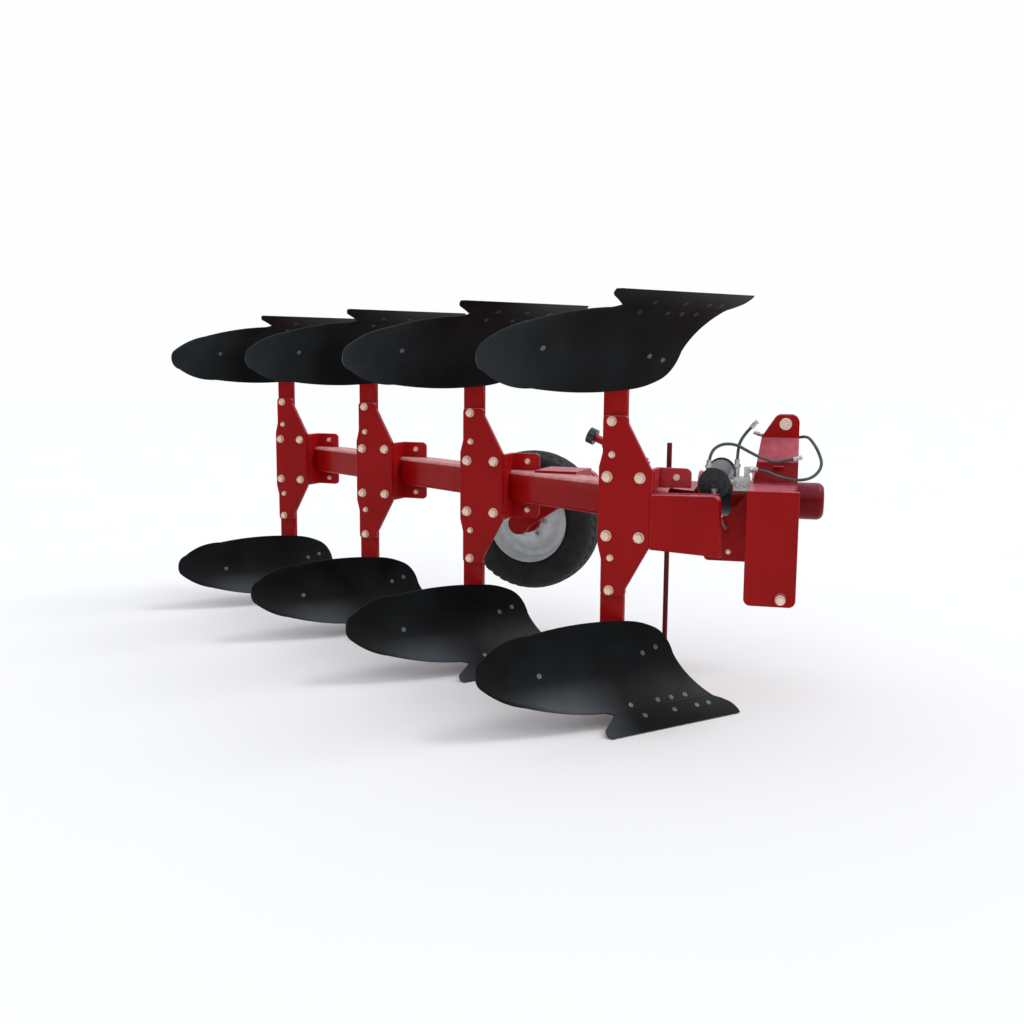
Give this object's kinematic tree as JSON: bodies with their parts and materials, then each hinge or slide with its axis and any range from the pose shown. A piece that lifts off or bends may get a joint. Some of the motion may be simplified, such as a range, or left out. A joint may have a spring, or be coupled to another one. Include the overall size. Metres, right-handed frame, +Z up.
{
  "type": "reversible moldboard plough",
  "caption": "Mounted reversible plough with paired right and left turning bodies on a diagonal beam, a turnover headstock, a swinging depth wheel and a parking stand.",
  "frame": {"origin": "bottom centre of the whole plough's box, on the ground under it", "axes": "+X the way the plough travels, +Y its left, +Z up"},
  "size_m": [3.6988, 2.4174, 1.721],
  "materials": {
    "frame_red": "gloss paint",
    "body_black": "satin black",
    "pin_steel": "zinc plated",
    "hydraulic_black": "satin black",
    "tyre": "rubber",
    "rim_silver": "silver paint",
    "hose_rubber": "rubber"
  },
  "bodies": {
    "headstock": {"cross_beam": "frame_red", "hitch_arm_left": "frame_red", "hitch_arm_right": "frame_red", "headstock_gusset_left": "frame_red", "headstock_gusset_right": "frame_red", "mast": "frame_red", "top_link_pin": "pin_steel", "turnover_ram": "hydraulic_black", "valve_block": "pin_steel", "hose_couplings": "pin_steel", "hose_rest": "frame_red", "hose_ram": "hose_rubber", "hose_free": "hose_rubber", "hose_loop": "hose_rubber", "hose_drop": "hose_rubber"},
    "frame": {"main_beam": "frame_red", "standard_plate_1": "frame_red", "console_1": "frame_red", "leg_lower_1": "frame_red", "moldboard_lower_1": "body_black", "share_lower_1": "body_black", "leg_upper_1": "frame_red", "moldboard_upper_1": "body_black", "share_upper_1": "body_black", "standard_plate_2": "frame_red", "console_2": "frame_red", "leg_lower_2": "frame_red", "moldboard_lower_2": "body_black", "share_lower_2": "body_black", "leg_upper_2": "frame_red", "moldboard_upper_2": "body_black", "share_upper_2": "body_black", "standard_plate_3": "frame_red", "console_3": "frame_red", "leg_lower_3": "frame_red", "moldboard_lower_3": "body_black", "share_lower_3": "body_black", "leg_upper_3": "frame_red", "moldboard_upper_3": "body_black", "share_upper_3": "body_black", "standard_plate_4": "frame_red", "console_4": "frame_red", "leg_lower_4": "frame_red", "moldboard_lower_4": "body_black", "share_lower_4": "body_black", "leg_upper_4": "frame_red", "moldboard_upper_4": "body_black", "share_upper_4": "body_black", "side_box": "frame_red", "front_member": "frame_red", "turnover_shaft": "frame_red", "wheel_carrier": "frame_red", "width_adjuster": "frame_red", "adjuster_knob": "hydraulic_black", "stand_socket": "frame_red"},
    "wheel_arm": {"wheel_arm": "frame_red"},
    "wheel": {"wheel_tyre": "tyre", "wheel_rim": "rim_silver", "wheel_hub": "frame_red"},
    "stand": {"parking_stand": "frame_red"}
  },
  "joints": [
    {"name": "turnover", "type": "hinge", "parent": "headstock", "child": "frame", "pos_m": [1.62878, -0.05816, 0.86051], "axis": [0.989, 0.1478, 0], "range_deg": [0, 180]},
    {"name": "wheel_swing", "type": "hinge", "parent": "frame", "child": "wheel_arm", "pos_m": [0.63678, 0.32984, 0.86051], "axis": [0, 1, 0], "range_deg": [0, 65.95]},
    {"name": "wheel_spin", "type": "hinge", "parent": "wheel_arm", "child": "wheel", "pos_m": [0.26378, 0.54884, 0.61851], "axis": [0, 1, 0], "continuous": true},
    {"name": "stand_slide", "type": "slide", "parent": "frame", "child": "stand", "axis": [0, 0, 1], "range_m": [0, 0.42]}
  ]
}
